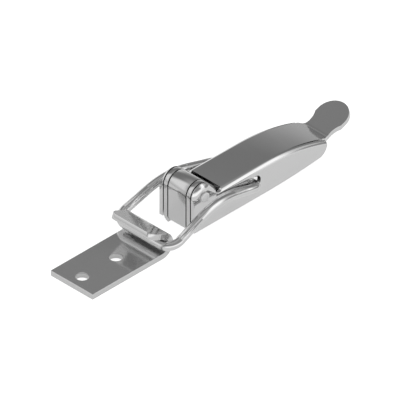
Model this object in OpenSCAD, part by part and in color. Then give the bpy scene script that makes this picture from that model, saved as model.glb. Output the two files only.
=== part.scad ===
// Over-centre draw latch: a pressed lever on a riveted base, a wire bail and a hooked strike.
// X runs along the latch towards the thumb tab and Z up from the mounting plane.
// The origin lies on that plane, midway between the two base screws.

/* [Strike] */
// Width of the strike strip
strike_w = 18; // [14:0.5:22]
// Thickness of the strike strip
strike_t = 2; // [1.5:0.1:2.4]
// Front edge of the strike to the centre of its hook
strike_reach = 30; // [28:0.5:40]
// Inner radius of the hook
hook_r = 2.5; // [2.2:0.1:3]
// Angle that the hook turns through, in degrees
hook_turn = 157; // [140:1:165]
// Straight length of the lip past the hook
lip_len = 6.9; // [4:0.1:8]
// Corner radius of the lip
lip_corner_r = 2.5; // [0.5:0.1:3]
// Diameter of the strike's screw holes
strike_hole_d = 4.2; // [3.2:0.1:4.5]
// Front edge of the strike to its first screw hole
strike_hole_edge = 4.5; // [4:0.1:6]
// Distance between the strike's screw holes
strike_hole_pitch = 14.4; // [12:0.1:16]

/* [Bail] */
// Diameter of the bail wire
wire_d = 3; // [2.5:0.1:3.2]
// Bend radius of the bail's front corners, on the wire's centre line
bail_corner_r = 4.2; // [3:0.1:4.4]
// Bend radius where each leg turns in to the lever, on the wire's centre line
bail_elbow_r = 2; // [1.8:0.1:2.5]
// Radius of the arch that lifts the legs over the pivot
bail_arch_r = 27; // [20:0.5:32]
// Slope of the legs as they leave the hook, in degrees
bail_front_slope = 19; // [17:0.5:21]
// Slope of the legs where they meet the lever, in degrees
bail_rear_slope = 14; // [13:0.5:15]
// Length of wire that shows inside each lever flange
bail_end_len = 1.4; // [0.8:0.1:2]

/* [Lever] */
// Thickness of the lever sheet
lever_t = 1.5; // [1.2:0.1:1.6]
// Width of the lever over its flanges
lever_w = 15; // [14:0.5:18]
// Outer radius of the bend between web and flange
lever_bend_r = 1.75; // [1.7:0.05:2.2]
// Depth of the web's top face below the pivot axis
web_drop = 1.1; // [0.8:0.1:1.6]
// Pivot axis to the front edge of the web
web_front = 8.4; // [8:0.1:10]
// Pivot axis to the place where the web starts to curve down
web_straight = 28; // [26:0.5:32]
// Radius of the curved web
web_arc_r = 71; // [66:1:80]
// Pivot axis to the rear end of the flanges
flange_reach = 52.7; // [51:0.1:53.2]
// Height of the flange edge above the mounting plane
flange_clear = 1.2; // [0.8:0.1:1.6]
// Pivot axis to the place where the flange edge starts to rise
flange_rise_from = 24; // [20:0.5:30]
// Radius of the rising flange edge
flange_rise_r = 260; // [200:5:320]
// Corner radius at the rear end of the flanges
flange_end_r = 4; // [3:0.1:4.5]
// Radius of the relief notch between each ear and the web
notch_r = 1.4; // [1:0.1:1.5]
// Depth of the relief notch in the flange
notch_depth = 0.8; // [0.5:0.1:1]
// Pivot axis to the start of the slits beside the tongue
slit_from = 37; // [34:0.5:44]
// Width of the slits at the rear end
slit_w = 0.6; // [0.4:0.05:0.7]

/* [Thumb tab] */
// Pivot axis to the crease where the tab turns up
tab_crease = 54.5; // [54:0.1:55]
// Radius of the crease, on the upper face
tab_crease_r = 2.5; // [2:0.1:3]
// Tilt of the tab above the mounting plane, in degrees
tab_tilt = 20; // [12:1:24]
// Pivot axis to the centre of the round tab
tab_reach = 61.9; // [61.4:0.1:64]
// Radius of the round tab
tab_r = 5.55; // [5:0.05:6]
// Width of the neck behind the tab
neck_w = 9.1; // [8.4:0.1:9.5]
// Radius of the hollow on each side of the neck
neck_r = 6; // [5:0.1:7]

/* [Base] */
// Thickness of the base sheet
base_t = 1.5; // [1.2:0.1:1.6]
// Outer bend radius of the base sheet
base_bend_r = 2.25; // [2:0.05:2.6]
// Radius of the rounded nose around the pivot
nose_r = 4.2; // [3.9:0.1:4.6]
// Angle past the crown where the nose runs out straight, in degrees
nose_turn = 42; // [38:1:44]
// Length of the straight run behind the nose
nose_run = 3.3; // [2.8:0.1:3.6]
// Pivot axis to the foot of the ears
ear_foot = 10; // [8.5:0.1:11]
// Pivot axis to the rear end of the base plate
base_reach = 37.5; // [35.5:0.5:42]
// Corner radius of the base plate
base_corner_r = 2; // [1:0.1:3]
// Pivot axis to the midpoint of the base screws
pivot_to_screws = 22; // [21.5:0.5:24]
// Distance between the base screws
base_hole_pitch = 16; // [14:0.5:18]
// Diameter of the base's screw holes
base_hole_d = 4.2; // [3.2:0.1:4.5]

/* [Pivot] */
// Height of the pivot axis above the mounting plane
pivot_z = 12.8; // [12.4:0.1:14]
// Shank diameter of the pivot rivet
rivet_d = 2.5; // [2:0.1:2.8]
// Head diameter of the pivot rivet
rivet_head_d = 3.3; // [3.1:0.1:3.6]
// Head height of the pivot rivet
rivet_head_h = 0.7; // [0.4:0.1:0.8]
// Pivot axis to the bail hole in the flange, along the latch
bail_hole_reach = 21.9; // [20:0.1:24]
// Depth of the bail hole below the pivot axis
bail_hole_drop = 5.6; // [5.2:0.1:6.4]
// Diameter of the bail hole
bail_hole_d = 4.6; // [4.4:0.1:5]
// Pivot axis to the centre of the hook with the latch closed
hook_reach = 19.2; // [18:0.1:22]

/* [Clearances] */
// Radial clearance of the rivet in its holes, and under its heads
rivet_gap = 0.05; // [0.02:0.01:0.1]
// Gap between flat sheets that turn against each other
sheet_gap = 0.4; // [0.2:0.05:0.45]
// Gap between the bail wire and the hook it pulls on
hook_gap = 0.5; // [0.4:0.05:0.6]
// Gap between the bail wire and the side of its hole it pulls on
bail_hole_gap = 0.1; // [0.05:0.05:0.2]
// Height that the bail wire lies below the centre of its hole
bail_hole_sag = 0.3; // [0:0.05:0.3]
// Gap between the bail legs and the strike's edges
strike_gap = 1.5; // [1.2:0.1:2]
// Gap between the bail legs and the lever flanges
leg_gap = 0.3; // [0.2:0.05:0.5]

/* [Hidden] */
$fn = 64;

steel = [0.76, 0.77, 0.78];
// Overshoot that lets a cut pass clean through
cut = 1;
// Facets of the wide, shallow curves
wide_fn = 360;
// Metal lost on each face where a sheet or a wire is bent
neck = 0.005;
// Length that a bend reaches into the straight beside it
lap = 0.03;

pivot_x = -pivot_to_screws;
wire_r = wire_d / 2;
web_z = pivot_z - web_drop;
flange_in = lever_w / 2 - lever_t;
ear_out = flange_in - sheet_gap;
ear_in = ear_out - base_t;
cover_half = ear_in - sheet_gap;
lever_bend_in = lever_bend_r - lever_t;
base_bend_in = base_bend_r - base_t;
hook_out = hook_r + strike_t;
hook_z = strike_t + hook_r;

// Where the straight run leaves the nose, and where it ends
nose_off = (nose_r - neck) * [sin(nose_turn), cos(nose_turn)] + [0, pivot_z];
nose_end = nose_off + nose_run * [cos(nose_turn), -sin(nose_turn)];
// The channel starts a little inside the ears, so that the two are one sheet
channel_from = nose_end[0] - cut;
// Angle ahead of the crown where the doming of the ears ends, just above the front ledge
dome_turn = 89;

// Fall of the web along its curve at a distance from the pivot axis
function web_angle(x) = asin((x - web_straight) / web_arc_r);
function web_top(x) = web_z - web_arc_r * (1 - cos(web_angle(x)));
function flange_edge(x) = flange_clear + flange_rise_r
    - sqrt(pow(flange_rise_r, 2) - pow(x - flange_rise_from, 2));

// Centre line of the bail, from the pivot axis and the mounting plane
bar_x = -hook_reach + hook_r - wire_r - hook_gap;
bar_half = strike_w / 2 + strike_gap + wire_r;
bail_hole_play = bail_hole_d / 2 - wire_r - bail_hole_gap;
bail_end_x = bail_hole_reach - sqrt(pow(bail_hole_play, 2) - pow(bail_hole_sag, 2));
bail_end_z = pivot_z - bail_hole_drop - bail_hole_sag;
leg_half = lever_w / 2 + leg_gap + wire_r;
arch_x = (bail_end_z + bail_end_x * tan(bail_rear_slope) - hook_z + bar_x * tan(bail_front_slope))
    / (tan(bail_front_slope) + tan(bail_rear_slope));
arch_z = hook_z + (arch_x - bar_x) * tan(bail_front_slope);
arch_half = bar_half + (leg_half - bar_half) * (arch_x - bar_x) / (bail_end_x - bar_x);

function leg_points(side) = [
    [bar_x, side * bar_half, hook_z],
    [arch_x, side * arch_half, arch_z],
    [bail_end_x, side * leg_half, bail_end_z],
    [bail_end_x, side * (flange_in - bail_end_len), bail_end_z]];
leg_radii = [bail_corner_r, bail_arch_r, bail_elbow_r, 0];

function reversed(list) = [for (i = [len(list) - 1 : -1 : 0]) list[i]];
function unit(v) = v / norm(v);

// Moves a shape drawn from the pivot axis to its place on the mounting plane
module from_pivot() {
    translate([pivot_x, 0, 0])
        children();
}

// Stands a side view up and gives it a thickness across the latch
module across(half) {
    rotate([90, 0, 0])
        linear_extrude(2 * half, center = true)
            children();
}

// Turns a section, drawn as radius and half-width, about an axis across the latch
module sweep(x, z, from, turn) {
    translate([x, 0, z])
        rotate([90, 0, 0])
            rotate([0, 0, from])
                rotate_extrude(angle = turn)
                    children();
}

// Angle that a bend turns through over the length of its lap
function lap_angle(bend_r) = asin(lap / bend_r);

// Carries a section down the curve of the web, from the end of its straight part to the crease
module web_sweep() {
    translate([web_straight, 0, web_z - web_arc_r])
        mirror([1, 0, 0])
            rotate([90, 0, 0])
                rotate([0, 0, 90])
                    rotate_extrude(angle = web_angle(tab_crease), $fn = wide_fn)
                        children();
}

module rod(start, end, r) {
    along = unit(end - start);
    helper = abs(along[2]) < 0.9 ? [0, 0, 1] : [1, 0, 0];
    ax = unit(cross(helper, along));
    ay = cross(along, ax);
    multmatrix([
        [ax[0], ay[0], along[0], start[0]],
        [ax[1], ay[1], along[1], start[1]],
        [ax[2], ay[2], along[2], start[2]],
        [0, 0, 0, 1]])
        cylinder(h = norm(end - start), r = r);
}

// Length of straight wire that a bend takes from each of its two legs
function bend_take(a, b, c, bend_r) =
    let (turn = acos(unit(b - a) * unit(c - b)))
    bend_r * tan(turn / 2);

module bend(a, b, c, bend_r, r) {
    d_in = unit(b - a);
    d_out = unit(c - b);
    turn = acos(d_in * d_out);
    start = b - d_in * bend_take(a, b, c, bend_r);
    inward = unit(d_out - (d_in * d_out) * d_in);
    centre = start + bend_r * inward;
    axis = cross(-inward, d_in);
    multmatrix([
        [-inward[0], d_in[0], axis[0], centre[0]],
        [-inward[1], d_in[1], axis[1], centre[1]],
        [-inward[2], d_in[2], axis[2], centre[2]],
        [0, 0, 0, 1]])
        rotate([0, 0, -lap_angle(bend_r)])
            rotate_extrude(angle = turn + 2 * lap_angle(bend_r), $fn = turn < 60 ? 180 : 64)
                translate([bend_r, 0])
                    circle(r - neck, $fn = 36);
}

// A wire bent along straight legs, with a round bend at each inner point
module bent_wire(points, radii, r) {
    last = len(points) - 1;
    takes = [for (i = [0 : last]) i == 0 || i == last
        ? 0 : bend_take(points[i - 1], points[i], points[i + 1], radii[i])];
    for (i = [0 : last - 1]) {
        along = unit(points[i + 1] - points[i]);
        rod(points[i] + along * takes[i], points[i + 1] - along * takes[i + 1], r, $fn = 36);
    }
    for (i = [1 : last - 1])
        bend(points[i - 1], points[i], points[i + 1], radii[i], r);
}

module bail() {
    color(steel)
        from_pivot()
            bent_wire(concat(reversed(leg_points(-1)), leg_points(1)),
                concat(reversed(leg_radii), leg_radii), wire_r);
}

module pivot_rivet() {
    head_in = lever_w / 2 + rivet_gap;
    edge_r = rivet_head_h / 3;
    color(steel)
        translate([pivot_x, 0, pivot_z])
            rotate([90, 0, 0]) {
                cylinder(h = 2 * head_in, r = rivet_d / 2, center = true);
                for (side = [0, 1])
                    mirror([0, 0, side])
                        translate([0, 0, head_in])
                            rotate_extrude() {
                                square([rivet_head_d / 2, rivet_head_h - edge_r]);
                                square([rivet_head_d / 2 - edge_r, rivet_head_h]);
                                translate([rivet_head_d / 2 - edge_r, rivet_head_h - edge_r])
                                    circle(edge_r, $fn = 32);
                            }
            }
}

// Strip with two screw holes, rolled into a hook that ends in a straight lip
module strike() {
    color(steel)
        from_pivot()
            difference() {
                union() {
                    translate([-hook_reach - strike_reach, -strike_w / 2, 0])
                        cube([strike_reach, strike_w, strike_t]);
                    sweep(-hook_reach, hook_z, -90, hook_turn + lap_angle(hook_r))
                        translate([hook_r + neck, -strike_w / 2])
                            square([strike_t - 2 * neck, strike_w]);
                    strike_lip();
                }
                for (i = [0, 1])
                    translate([-hook_reach - strike_reach + strike_hole_edge + i * strike_hole_pitch,
                        0, -cut])
                        cylinder(h = strike_t + 2 * cut, d = strike_hole_d);
            }
}

// The lip lies along the hook's tangent, with its two free corners rounded
module strike_lip() {
    translate([-hook_reach, 0, hook_z])
        rotate([0, 90 - hook_turn, 0])
            translate([hook_r, 0, 0])
                rotate([90, 0, 90])
                    linear_extrude(strike_t)
                        lip_outline();
}

module lip_outline() {
    translate([-strike_w / 2, 0])
        square([strike_w, lip_len - lip_corner_r]);
    translate([-strike_w / 2 + lip_corner_r, 0])
        square([strike_w - 2 * lip_corner_r, lip_len]);
    for (side = [-1, 1])
        translate([side * (strike_w / 2 - lip_corner_r), lip_len - lip_corner_r])
            circle(lip_corner_r);
}

// Base: a plate, two bent-up ears and a front cover that curls over the rivet
module base() {
    color(steel)
        from_pivot()
            difference() {
                union() {
                    base_ears();
                    base_cover();
                    base_plate();
                }
                translate([0, 0, pivot_z])
                    rotate([90, 0, 0])
                        cylinder(h = lever_w, r = rivet_d / 2 + rivet_gap, center = true);
                for (side = [-1, 1])
                    translate([pivot_to_screws + side * base_hole_pitch / 2, 0, -cut])
                        cylinder(h = base_t + 2 * cut, d = base_hole_d);
            }
}

// Side view of the ears: the nose above, the foot on the plate
module ear_outline() {
    translate([0, pivot_z])
        circle(nose_r);
    polygon([
        [-nose_r, 0],
        [-nose_r, pivot_z],
        nose_off,
        nose_end,
        [nose_end[0], web_z - 2 * lever_t],
        [ear_foot, base_t],
        [ear_foot, 0]]);
}

// Front view of the ears: two walls with a round bend into the plate
module ear_section() {
    difference() {
        trough(ear_out, 0, base_bend_r);
        trough(ear_in, base_t, base_bend_in);
    }
}

module trough(half, bottom, r) {
    top = pivot_z + nose_r + cut;
    translate([-half, bottom + r])
        square([2 * half, top - bottom - r]);
    translate([-half + r, bottom])
        square([2 * (half - r), top - bottom]);
    for (side = [-1, 1])
        translate([side * (half - r), bottom + r])
            circle(r);
}

module base_ears() {
    difference() {
        intersection() {
            across(ear_out)
                ear_outline();
            translate([-nose_r, 0, 0])
                rotate([90, 0, 90])
                    linear_extrude(nose_r + ear_foot)
                        ear_section();
        }
        translate([-nose_r - cut, -cover_half, -cut])
            cube([base_bend_r + cut, 2 * cover_half, base_bend_r + 2 * cut]);
    }
}

module base_cover() {
    across(cover_half)
        difference() {
            cover_outside();
            cover_inside();
        }
}

// Everything behind the outer face of the cover, cut square at the end of its run
module cover_outside() {
    end_deep = nose_end - 2 * base_t * [sin(nose_turn), cos(nose_turn)];
    translate([0, pivot_z])
        circle(nose_r);
    polygon([
        [-nose_r, base_bend_r],
        [-nose_r, pivot_z],
        nose_off,
        nose_end,
        end_deep,
        [0, base_bend_r]]);
    translate([-nose_r + base_bend_r, 0])
        square([nose_r - base_bend_r, base_bend_r]);
    translate([-nose_r + base_bend_r, base_bend_r])
        circle(base_bend_r);
}

// Everything behind the inner face of the cover, above the plate
module cover_inside() {
    inner_r = nose_r - base_t;
    inner_off = (inner_r - neck) * [sin(nose_turn), cos(nose_turn)] + [0, pivot_z];
    inner_far = inner_off + (nose_run + cut) * [cos(nose_turn), -sin(nose_turn)];
    translate([0, pivot_z])
        circle(inner_r);
    polygon([
        [-inner_r, base_bend_r],
        [-inner_r, pivot_z],
        inner_off,
        inner_far,
        [inner_far[0], base_t],
        [-nose_r + base_bend_r, base_t]]);
    translate([-nose_r + base_bend_r, base_bend_r])
        circle(base_bend_in);
}

module base_plate() {
    front = -nose_r + base_bend_r;
    rear_w = 2 * ear_out;
    translate([front, -ear_out + base_bend_r, 0])
        cube([ear_foot - front, 2 * (ear_out - base_bend_r), base_t]);
    linear_extrude(base_t) {
        translate([ear_foot, -ear_out])
            square([base_reach - base_corner_r - ear_foot, rear_w]);
        translate([ear_foot, -ear_out + base_corner_r])
            square([base_reach - ear_foot, rear_w - 2 * base_corner_r]);
        for (side = [-1, 1])
            translate([base_reach - base_corner_r, side * (ear_out - base_corner_r)])
                circle(base_corner_r);
    }
}

// Lever: a pressed channel with two ears at the pivot and a tongue that ends in the tab
module lever() {
    color(steel)
        from_pivot()
            difference() {
                union() {
                    difference() {
                        lever_channel();
                        neck_hollows();
                    }
                    for (side = [0, 1])
                        mirror([0, side, 0])
                            lever_ear();
                    thumb_tab();
                }
                translate([0, 0, pivot_z])
                    rotate([90, 0, 0])
                        cylinder(h = lever_w + 2 * cut, r = rivet_d / 2 + rivet_gap, center = true);
                translate([bail_hole_reach, 0, pivot_z - bail_hole_drop])
                    rotate([90, 0, 0])
                        cylinder(h = lever_w + 2 * cut, d = bail_hole_d, center = true);
                relief_notches();
                tongue_slits();
            }
}

// Cross section of the channel, drawn down from the top of the web
module channel_section() {
    difference() {
        hood(lever_w / 2, 0, lever_bend_r);
        hood(flange_in, lever_t, lever_bend_in);
    }
}

module hood(half, top, r) {
    depth = web_z + cut;
    translate([-half, -depth])
        square([2 * half, depth - top - r]);
    translate([-half + r, -depth])
        square([2 * (half - r), depth - top]);
    for (side = [-1, 1])
        translate([side * (half - r), -top - r])
            circle(r, $fn = 48);
}

module lever_channel() {
    intersection() {
        translate([web_straight, 0, web_z])
            rotate([90, 0, -90])
                linear_extrude(web_straight - channel_from)
                    channel_section();
        across(lever_w)
            flange_outline();
    }
    intersection() {
        web_sweep()
            translate([web_arc_r, 0])
                rotate(-90)
                    channel_section();
        across(lever_w) {
            flange_outline();
            tongue_outline();
        }
    }
}

// Side view of the sheet that carries on from the web past the flanges
module tongue_outline() {
    difference() {
        translate([web_straight, web_z - web_arc_r])
            circle(web_arc_r + cut, $fn = wide_fn);
        translate([web_straight, web_z - web_arc_r])
            circle(web_arc_r - lever_bend_r - lap, $fn = wide_fn);
        translate([web_straight - 2 * web_arc_r, -2 * web_arc_r])
            square([2 * web_arc_r + flange_reach - web_straight - lever_t, 4 * web_arc_r]);
    }
}

// Side view of the flanges: a straight edge that rises to a rounded end
module flange_outline() {
    end_z = flange_edge(flange_reach - flange_end_r) + flange_end_r - lap;
    difference() {
        union() {
            translate([0, flange_clear])
                square([flange_rise_from, web_z]);
            intersection() {
                translate([web_front, 0])
                    square([flange_reach - web_front, web_z + cut]);
                translate([flange_rise_from, flange_clear + flange_rise_r])
                    circle(flange_rise_r, $fn = 4 * wide_fn);
            }
        }
        difference() {
            translate([flange_reach - flange_end_r, 0])
                square([flange_end_r + cut, end_z]);
            translate([flange_reach - flange_end_r, end_z])
                circle(flange_end_r);
        }
    }
}

// Side view of an ear: square below the pivot axis, a rounded nose above it
module lever_ear_outline() {
    translate([0, pivot_z])
        circle(nose_r);
    polygon([
        [-nose_r, flange_clear],
        [-nose_r, pivot_z],
        nose_off,
        nose_end,
        [nose_end[0], flange_clear]]);
}

// Section of the metal that doming takes off the nose, as radius and distance from the middle
module dome_relief() {
    dome_r = 1.75 * lever_t;
    centre_w = lever_w / 2 - dome_r + lap;
    rim_w = flange_in + lever_t / 8;
    centre_r = nose_r - sqrt(pow(dome_r, 2) - pow(rim_w - centre_w, 2));
    difference() {
        translate([centre_r, flange_in])
            square([nose_r + cut - centre_r, lever_t + cut]);
        translate([centre_r, centre_w])
            circle(dome_r);
    }
}

// One ear, domed from its front ledge over the crown to the foot of the nose
module lever_ear() {
    difference() {
        translate([0, -(lever_w - lever_t) / 2, 0])
            across(lever_t / 2)
                lever_ear_outline();
        translate([0, 0, pivot_z])
            rotate([90, 0, 0])
                rotate([0, 0, 90 - nose_turn]) {
                    rotate_extrude(angle = dome_turn + nose_turn)
                        dome_relief();
                    rotate([90, 0, 0])
                        linear_extrude(nose_run + cut)
                            dome_relief();
                }
    }
}

// Cuts that free the ears from the web, and the web from the nose of the base
module relief_notches() {
    translate([web_front - notch_r, 0, web_z + notch_r - notch_depth])
        rotate([90, 0, 0])
            cylinder(h = lever_w + 2 * cut, r = notch_r, center = true);
    translate([channel_from - cut, -flange_in, web_z - lever_t - lever_bend_in])
        cube([web_front - channel_from + cut, 2 * flange_in, lever_bend_r + cut]);
}

// Hollows that narrow the tongue to a neck before the tab
module neck_hollows() {
    half = neck_w / 2 + neck_r;
    neck_x = tab_reach - sqrt(pow(tab_r + neck_r, 2) - pow(half, 2));
    intersection() {
        for (side = [-1, 1])
            translate([neck_x, side * half, 0])
                cylinder(h = web_z + cut, r = neck_r);
        translate([flange_reach, -half, -cut])
            cube([2 * tab_r, 2 * half, web_z + 3 * cut]);
    }
}

// Round tab, turned up at the crease
module thumb_tab() {
    fall = web_angle(tab_crease);
    centre = [tab_crease + tab_crease_r * sin(fall), web_top(tab_crease) + tab_crease_r * cos(fall)];
    top = centre + tab_crease_r * [sin(tab_tilt), -cos(tab_tilt)];
    run = (tab_reach - top[0]) / cos(tab_tilt);
    difference() {
        union() {
            sweep(centre[0], centre[1], 270 - fall - lap_angle(tab_crease_r),
                fall + tab_tilt + 2 * lap_angle(tab_crease_r))
                translate([tab_crease_r + neck, -tab_r])
                    square([lever_t - 2 * neck, 2 * tab_r]);
            translate([top[0], 0, top[1]])
                rotate([0, -tab_tilt, 0])
                    translate([0, -tab_r, -lever_t])
                        cube([run, 2 * tab_r, lever_t]);
        }
        neck_hollows();
    }
    translate([top[0], 0, top[1]])
        rotate([0, -tab_tilt, 0])
            translate([run, 0, -lever_t])
                cylinder(h = lever_t, r = tab_r);
}

// Tapered slits that part the tongue from the flanges, and trim its sides past them
module tongue_slits() {
    slit_end = tab_crease + cut;
    slit_in = flange_in - slit_w / 4;
    slit_out = slit_in + slit_w;
    intersection() {
        web_sweep()
            translate([web_arc_r - lever_bend_r - 3 * lap, -lever_w])
                square([lever_bend_r + cut, 2 * lever_w]);
        linear_extrude(web_z + 2 * cut)
            for (side = [-1, 1])
                polygon([
                    [slit_from, side * flange_in],
                    [slit_end, side * slit_in],
                    [slit_end, side * lever_w],
                    [flange_reach, side * lever_w],
                    [flange_reach, side * slit_out]]);
    }
}

base();
pivot_rivet();
lever();
bail();
strike();
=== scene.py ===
# %% [markdown]
# # An over-centre draw latch in polished steel
# This lesson dresses a small draw latch: a strike with a rolled hook, a bent wire bail, a pressed
# lever with a thumb tab, and the riveted base that carries it. The shapes come from the CAD frame,
# which is loaded first. Everything is in metres, and Z is up from the mounting plane.

import math

import bmesh
import bpy
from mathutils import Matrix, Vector


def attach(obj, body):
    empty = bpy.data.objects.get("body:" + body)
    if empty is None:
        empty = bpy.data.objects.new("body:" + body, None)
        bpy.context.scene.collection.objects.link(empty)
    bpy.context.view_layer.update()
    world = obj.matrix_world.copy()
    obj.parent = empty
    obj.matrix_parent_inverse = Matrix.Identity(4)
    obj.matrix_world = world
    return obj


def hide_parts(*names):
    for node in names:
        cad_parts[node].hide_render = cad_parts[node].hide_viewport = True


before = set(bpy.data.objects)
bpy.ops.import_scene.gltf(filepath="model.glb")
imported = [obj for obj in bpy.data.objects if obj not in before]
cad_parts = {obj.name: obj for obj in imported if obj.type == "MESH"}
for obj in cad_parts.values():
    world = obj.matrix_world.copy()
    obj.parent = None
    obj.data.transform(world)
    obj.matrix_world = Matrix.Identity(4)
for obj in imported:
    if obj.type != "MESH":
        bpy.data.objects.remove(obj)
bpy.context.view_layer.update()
MM = 0.001

# %% [markdown]
# ## Softened edges
# A CAD solid has knife edges, and a knife edge never catches the light. Real sheet is tumbled and
# polished after pressing, so each edge is rounded by about a tenth of a millimetre. A Bevel
# modifier could do it, but here each part gets a copy of its own mesh, made with bmesh: the loose
# triangles are merged, flat areas are joined to whole faces, and only the sharp edges are beveled.
# Where a bend runs out of a flat area, the flat area keeps its own normal.

# %% Copy a part and round its edges
# Edges above this angle are rounded
SHARP = math.radians(24)
# Edges above this angle are shaded hard
HARD = math.radians(30)
# Faces closer to level than this are one flat area
LEVEL = math.radians(0.3)
# Corners closer than this are one corner
WELD = 0.008 * MM
# A face with this many corners is a joined flat area
JOINED = 9
# A face this close to a flat area's slope belongs to a bend that runs out of it
TANGENT = math.radians(15)
# Past the end of every part, so that no edge is left out
WHOLE_PART = 1000


def welded_copy(node):
    """A bmesh of the part with its loose triangles merged and its flat areas joined."""
    bm = bmesh.new()
    bm.from_mesh(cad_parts[node].data)
    bmesh.ops.remove_doubles(bm, verts=bm.verts, dist=WELD)
    bmesh.ops.dissolve_degenerate(bm, edges=bm.edges, dist=WELD)
    bmesh.ops.dissolve_limit(bm, angle_limit=LEVEL, verts=bm.verts, edges=bm.edges)
    return bm


def sharp_edges(bm):
    """Edges where two faces meet at a clear angle."""
    return [e for e in bm.edges if len(e.link_faces) == 2 and e.calc_face_angle(0) > SHARP]


def ahead_of(edges, limit_mm):
    """The edges that lie on the nose side of a limit along X."""
    return [e for e in edges if max(v.co.x for v in e.verts) < limit_mm * MM]


def hold_flat(mesh):
    """Gives the corners of each flat area its own normal, so that a bend runs out of it cleanly."""
    flats = {}
    for face in mesh.polygons:
        if len(face.vertices) >= JOINED:
            for vertex in face.vertices:
                flats.setdefault(vertex, []).append(face.normal.copy())
    normals = [corner.vector.copy() for corner in mesh.corner_normals]
    for face in mesh.polygons:
        for corner in face.loop_indices:
            for flat in flats.get(mesh.loops[corner].vertex_index, ()):
                if flat.angle(face.normal) < TANGENT:
                    normals[corner] = flat
    mesh.normals_split_custom_set(normals)


def softened(node, body, material, edge_mm, limit_mm=WHOLE_PART, rounds=2):
    """Stands a copy with rounded edges for a part, on the part's own body."""
    bm = welded_copy(node)
    edges = ahead_of(sharp_edges(bm), limit_mm)
    if edge_mm:
        bmesh.ops.bevel(bm, geom=edges, offset=edge_mm * MM, offset_type="OFFSET",
                        affect="EDGES", segments=rounds, profile=0.5, material=-1,
                        clamp_overlap=False)
    mesh = bpy.data.meshes.new(node + "_finished")
    bm.to_mesh(mesh)
    bm.free()
    mesh.shade_smooth()
    mesh.set_sharp_from_angle(angle=HARD)
    hold_flat(mesh)
    piece = bpy.data.objects.new(node + "_finished", mesh)
    bpy.context.scene.collection.objects.link(piece)
    mesh.materials.append(material)
    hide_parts(node)
    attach(piece, body)
    print(node, "edges rounded:", len(edges), "faces:", len(mesh.polygons))
    return piece


# %% [markdown]
# ## Shader maths in plain Python
# A finish is a network of nodes. Wired by hand it is hard to read, so one small class wraps a
# socket and turns `+`, `-` and `*` into Math nodes, and one method adds every other node.

# %% A finish and its values
class Value:
    """A number in a finish. Sums and products of values add Math nodes."""

    def __init__(self, finish, socket):
        self.finish = finish
        self.socket = socket

    def math(self, operation, a, b):
        return self.finish.node("ShaderNodeMath", {"operation": operation}, {0: a, 1: b})

    def __add__(self, other):
        return self.math("ADD", self, other)

    def __sub__(self, other):
        return self.math("SUBTRACT", self, other)

    def __rsub__(self, other):
        return self.math("SUBTRACT", other, self)

    def __mul__(self, other):
        return self.math("MULTIPLY", self, other)

    __radd__ = __add__
    __rmul__ = __mul__


class Finish:
    """A material, or the world, whose nodes are added one call at a time."""

    def __init__(self, owner, shader="Principled BSDF"):
        self.material = owner
        self.material.use_nodes = True
        self.tree = self.material.node_tree
        self.shader = self.tree.nodes[shader]

    def node(self, kind, settings=None, inputs=None, out=0):
        made = self.tree.nodes.new(kind)
        for key, setting in (settings or {}).items():
            if key == "stops":
                ramp = made.color_ramp
                while len(ramp.elements) < len(setting):
                    ramp.elements.new(0.5)
                for stop, (place, grey) in zip(ramp.elements, setting):
                    stop.position, stop.color = place, (grey, grey, grey, 1)
            else:
                setattr(made, key, setting)
        for key, value in (inputs or {}).items():
            self.put(made.inputs[key], value)
        return Value(self, made.outputs[out])

    def put(self, socket, value):
        if isinstance(value, Value):
            self.tree.links.new(value.socket, socket)
        else:
            socket.default_value = value

    def place(self, scale):
        """Object coordinates, stretched along the axes."""
        here = self.node("ShaderNodeTexCoord", out="Object")
        return self.node("ShaderNodeMapping", {"vector_type": "POINT"},
                         {"Vector": here, "Scale": scale})

    def noise(self, scale, detail=2.0, rough=0.5):
        return self.node("ShaderNodeTexNoise", None,
                         {"Vector": self.place(scale), "Scale": 1.0, "Detail": detail,
                          "Roughness": rough}, out=0)

    def between(self, mask, low, high):
        """A colour between two, by a mask."""
        return self.node("ShaderNodeMix", {"data_type": "RGBA"}, {0: mask, 6: low, 7: high}, out=2)

    def fade(self, value, start, end):
        """A mask that goes softly from 0 at one value to 1 at another."""
        return self.node("ShaderNodeMapRange", {"interpolation_type": "SMOOTHSTEP"},
                         {"Value": value, "From Min": start, "From Max": end})

    def ray(self, kind):
        return self.node("ShaderNodeLightPath", out=kind)


def grey(level):
    return (level, level, level, 1)


# %% [markdown]
# ## Polished steel sheet
# The pressings are stainless sheet, polished until they mirror. What is left is a trace of the
# rolling grain along the sheet and cloudy patches where the wheel pressed harder. The grain is
# noise stretched along X. It moves the roughness and a very shallow bump; the clouds move the
# roughness and the tint.

# %% The sheet finish
def steel_sheet(name, tint, roughness, grain=(70, 5200, 5200), mirror=1.0):
    finish = Finish(bpy.data.materials.new(name))
    lines = finish.noise(grain, detail=3.0)
    clouds = finish.noise((55, 75, 75), detail=3.0, rough=0.6)
    pits = finish.noise((1900, 2300, 2300), detail=1.0)
    finish.put(finish.shader.inputs["Base Color"],
               finish.between(clouds, grey(tint * 0.95), grey(tint)))
    finish.put(finish.shader.inputs["Roughness"],
               lines * 0.045 + clouds * 0.07 + pits * 0.02 + (roughness - 0.07))
    bump = finish.node("ShaderNodeBump", None,
                       {"Strength": 0.25, "Distance": 0.002 * MM, "Height": lines + pits * 0.4})
    finish.put(finish.shader.inputs["Normal"], bump)
    finish.put(finish.shader.inputs["Metallic"], mirror)
    return finish.material


lever_steel = steel_sheet("lever polished sheet", 0.72, 0.10)
# The base's tint is set lower than the lever's: painted shade, a darker copy of the same polished
# sheet that stands in for the dimmer reflections on its faces.
base_steel = steel_sheet("base polished sheet", 0.66, 0.13, (5200, 5200, 70))
strike_steel = steel_sheet("strike polished sheet", 0.70, 0.11, mirror=0.8)
print("sheet finishes:", lever_steel.name, base_steel.name, strike_steel.name)

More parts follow.
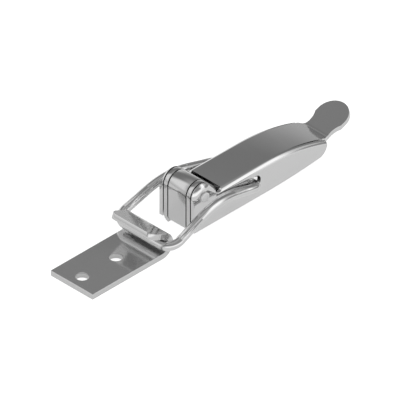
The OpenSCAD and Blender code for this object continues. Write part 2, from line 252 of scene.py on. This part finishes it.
# %% [markdown]
# ## Bright wire and rivet
# Drawn wire comes out of its die brighter than sheet, with hair-fine lines along it. The rivet head
# is turned and peened, so its marks run round the pivot axis, which is Y. Bare steel would be fully
# metallic. The head is set well below that, so that it reads as pale as in the photograph.

# %% The wire and rivet finishes
def bright_wire():
    finish = Finish(bpy.data.materials.new("bail bright wire"))
    lines = finish.noise((240, 3600, 3600), detail=2.0)
    patches = finish.noise((160, 160, 160), detail=2.0)
    finish.put(finish.shader.inputs["Base Color"],
               finish.between(patches, grey(0.69), grey(0.74)))
    finish.put(finish.shader.inputs["Roughness"], lines * 0.04 + patches * 0.04 + 0.02)
    bump = finish.node("ShaderNodeBump", None,
                       {"Strength": 0.2, "Distance": 0.002 * MM, "Height": lines})
    finish.put(finish.shader.inputs["Normal"], bump)
    finish.put(finish.shader.inputs["Metallic"], 0.95)
    return finish.material


def peened_rivet():
    finish = Finish(bpy.data.materials.new("rivet peened head"))
    here = finish.node("ShaderNodeTexCoord", out="Object")
    centred = finish.node("ShaderNodeMapping", {"vector_type": "POINT"},
                          {"Vector": here, "Location": (22 * MM, 0, -12.8 * MM)})
    rings = finish.node("ShaderNodeTexWave", {"wave_type": "RINGS", "rings_direction": "Y"},
                        {"Vector": centred, "Scale": 900.0, "Distortion": 1.5, "Detail": 2.0},
                        out="Fac")
    dents = finish.noise((1400, 1400, 1400), detail=1.0)
    finish.put(finish.shader.inputs["Base Color"],
               finish.between(dents, grey(0.94), grey(0.99)))
    finish.put(finish.shader.inputs["Roughness"], rings * 0.05 + dents * 0.08 + 0.35)
    bump = finish.node("ShaderNodeBump", None,
                       {"Strength": 0.15, "Distance": 0.002 * MM, "Height": rings + dents})
    finish.put(finish.shader.inputs["Normal"], bump)
    finish.put(finish.shader.inputs["Metallic"], 0.3)
    return finish.material


wire_steel = bright_wire()
rivet_steel = peened_rivet()
print("bright finishes:", wire_steel.name, rivet_steel.name)

# %% [markdown]
# ## The five pieces
# Each piece keeps the shape of its solid and rides on the same body, so it opens and shuts with
# the lever. Thin cut edges of the sheet get a smaller round than the heavier strike. The lever's
# tongue slits are thinner than a round, so only its edges ahead of them are softened.

# %% Dress each part
softened("base", "base", base_steel, 0.04)
softened("pivot_rivet", "base", rivet_steel, 0.06)
softened("lever", "lever", lever_steel, 0.05, limit_mm=6)
softened("bail", "bail", wire_steel, 0)
softened("strike", "strike", strike_steel, 0.12)

# %% [markdown]
# ## Camera
# The photograph is a true isometric view, with no perspective: all three axes are shortened alike.
# An orthographic camera along the cube's diagonal repeats it.

# %% Set the camera
look_at = Vector((-16.30, 0, 5.08)) * MM
towards = Vector((-1, -1, 1)).normalized()
camera_data = bpy.data.cameras.new("isometric")
camera_data.type = "ORTHO"
camera_data.ortho_scale = 0.12097
camera_data.clip_start = 0.01
camera_data.clip_end = 20
camera = bpy.data.objects.new("isometric", camera_data)
camera.location = look_at + towards * 0.6
camera.rotation_euler = (-towards).to_track_quat("-Z", "Y").to_euler()
bpy.context.scene.collection.objects.link(camera)
bpy.context.scene.camera = camera
print("camera at", [round(c, 3) for c in camera.location])

# %% [markdown]
# ## Floor and light
# Polished metal shows its surroundings, so the studio is built for the reflections: a white floor,
# a sky with a dim band above half height for the dark faces, and one soft lamp. It is not a plain
# studio. It is darker than one, and its levels suit the camera above.

# %% Floor
def white_floor():
    finish = Finish(bpy.data.materials.new("studio floor"))
    shader = finish.shader
    shader.inputs["Base Color"].default_value = grey(0.7)
    shader.inputs["Roughness"].default_value = 1.0
    shader.inputs["Specular IOR Level"].default_value = 0.0
    shader.inputs["Emission Color"].default_value = grey(1.0)
    finish.put(shader.inputs["Emission Strength"],
               finish.ray("Is Camera Ray") * 0.85 + finish.ray("Is Glossy Ray") * 0.44)
    return finish.material


bm = bmesh.new()
bmesh.ops.create_grid(bm, x_segments=1, y_segments=1, size=0.16)
bmesh.ops.translate(bm, verts=bm.verts, vec=(0, 0, -0.05 * MM))
floor_mesh = bpy.data.meshes.new("floor")
bm.to_mesh(floor_mesh)
bm.free()
floor_mesh.materials.append(white_floor())
floor = bpy.data.objects.new("floor", floor_mesh)
bpy.context.scene.collection.objects.link(floor)
print("floor faces:", len(floor_mesh.polygons))

# %% [markdown]
# The sky is a function of direction. One ramp gives its level by height. Five masks then change it
# towards the near side, low on that side, low on the far side, beside the lamp, and in front, which
# is where the flats, the bends, the nose and the wire look. The levels are fitted to the greys that
# the photograph shows on those faces. The camera itself sees plain white.

# %% Studio sky
# Height, and the sky's level there
BY_HEIGHT = [(0.0, 0.45), (0.08, 0.47), (0.20, 0.42), (0.34, 0.33), (0.57, 0.225), (0.70, 0.23),
             (0.82, 0.26), (0.93, 0.40), (1.0, 0.50)]
NEAR_LEVEL, NEAR_LOW_LEVEL, FAR_LEVEL, SIDE_LEVEL = 0.32, 1.3, 1.15, 1.05
FRONT_FOOT, FRONT_TOP = 0.66, 0.98

world = bpy.data.worlds.new("studio")
bpy.context.scene.world = world
sky = Finish(world, "Background")
way = sky.node("ShaderNodeTexCoord", out="Generated")
x, y, z = [sky.node("ShaderNodeSeparateXYZ", None, {0: way}, out=axis) for axis in "XYZ"]
level = sky.node("ShaderNodeValToRGB", {"stops": BY_HEIGHT}, {"Fac": z})
near = sky.fade(y, 0.1, -0.3)
low = sky.fade(z, 0.55, 0.20) * sky.fade(x, 0.62, 0.42)
far = sky.fade(y, 0.60, 0.85) * sky.fade(z, 0.50, 0.20)
side = sky.fade(y, -0.12, -0.45) * sky.fade(x, 0.28, 0.48) * sky.fade(x, 0.76, 0.62)
front = sky.fade(x, -0.12, -0.45) * sky.fade(y, 0.1, 0.4)
level = sky.between(near, level, grey(NEAR_LEVEL))
level = sky.between(near * low, level, grey(NEAR_LOW_LEVEL))
level = sky.between(far, level, grey(FAR_LEVEL))
level = sky.between(side, level, grey(SIDE_LEVEL))
ahead = sky.between(sky.fade(z, 0.0, 0.35), grey(FRONT_FOOT), grey(FRONT_TOP))
level = sky.between(front, level, ahead)
sky.put(sky.shader.inputs["Color"], sky.between(sky.ray("Is Camera Ray"), level, grey(1.0)))
print("sky stops:", len(BY_HEIGHT))


# %% Lamp
def soft_lamp(name, direction, distance, size, power):
    lamp = bpy.data.lights.new(name, "AREA")
    lamp.shape = "SQUARE"
    lamp.size = size
    lamp.energy = power
    stand = bpy.data.objects.new(name, lamp)
    away = Vector(direction).normalized()
    stand.location = look_at + away * distance
    stand.rotation_euler = (-away).to_track_quat("-Z", "Y").to_euler()
    bpy.context.scene.collection.objects.link(stand)
    return stand


soft_lamp("key", (0.56, -0.53, 0.64), 0.8, 0.7, 0.5)

# %% Finish
bpy.context.scene.view_settings.view_transform = "Standard"
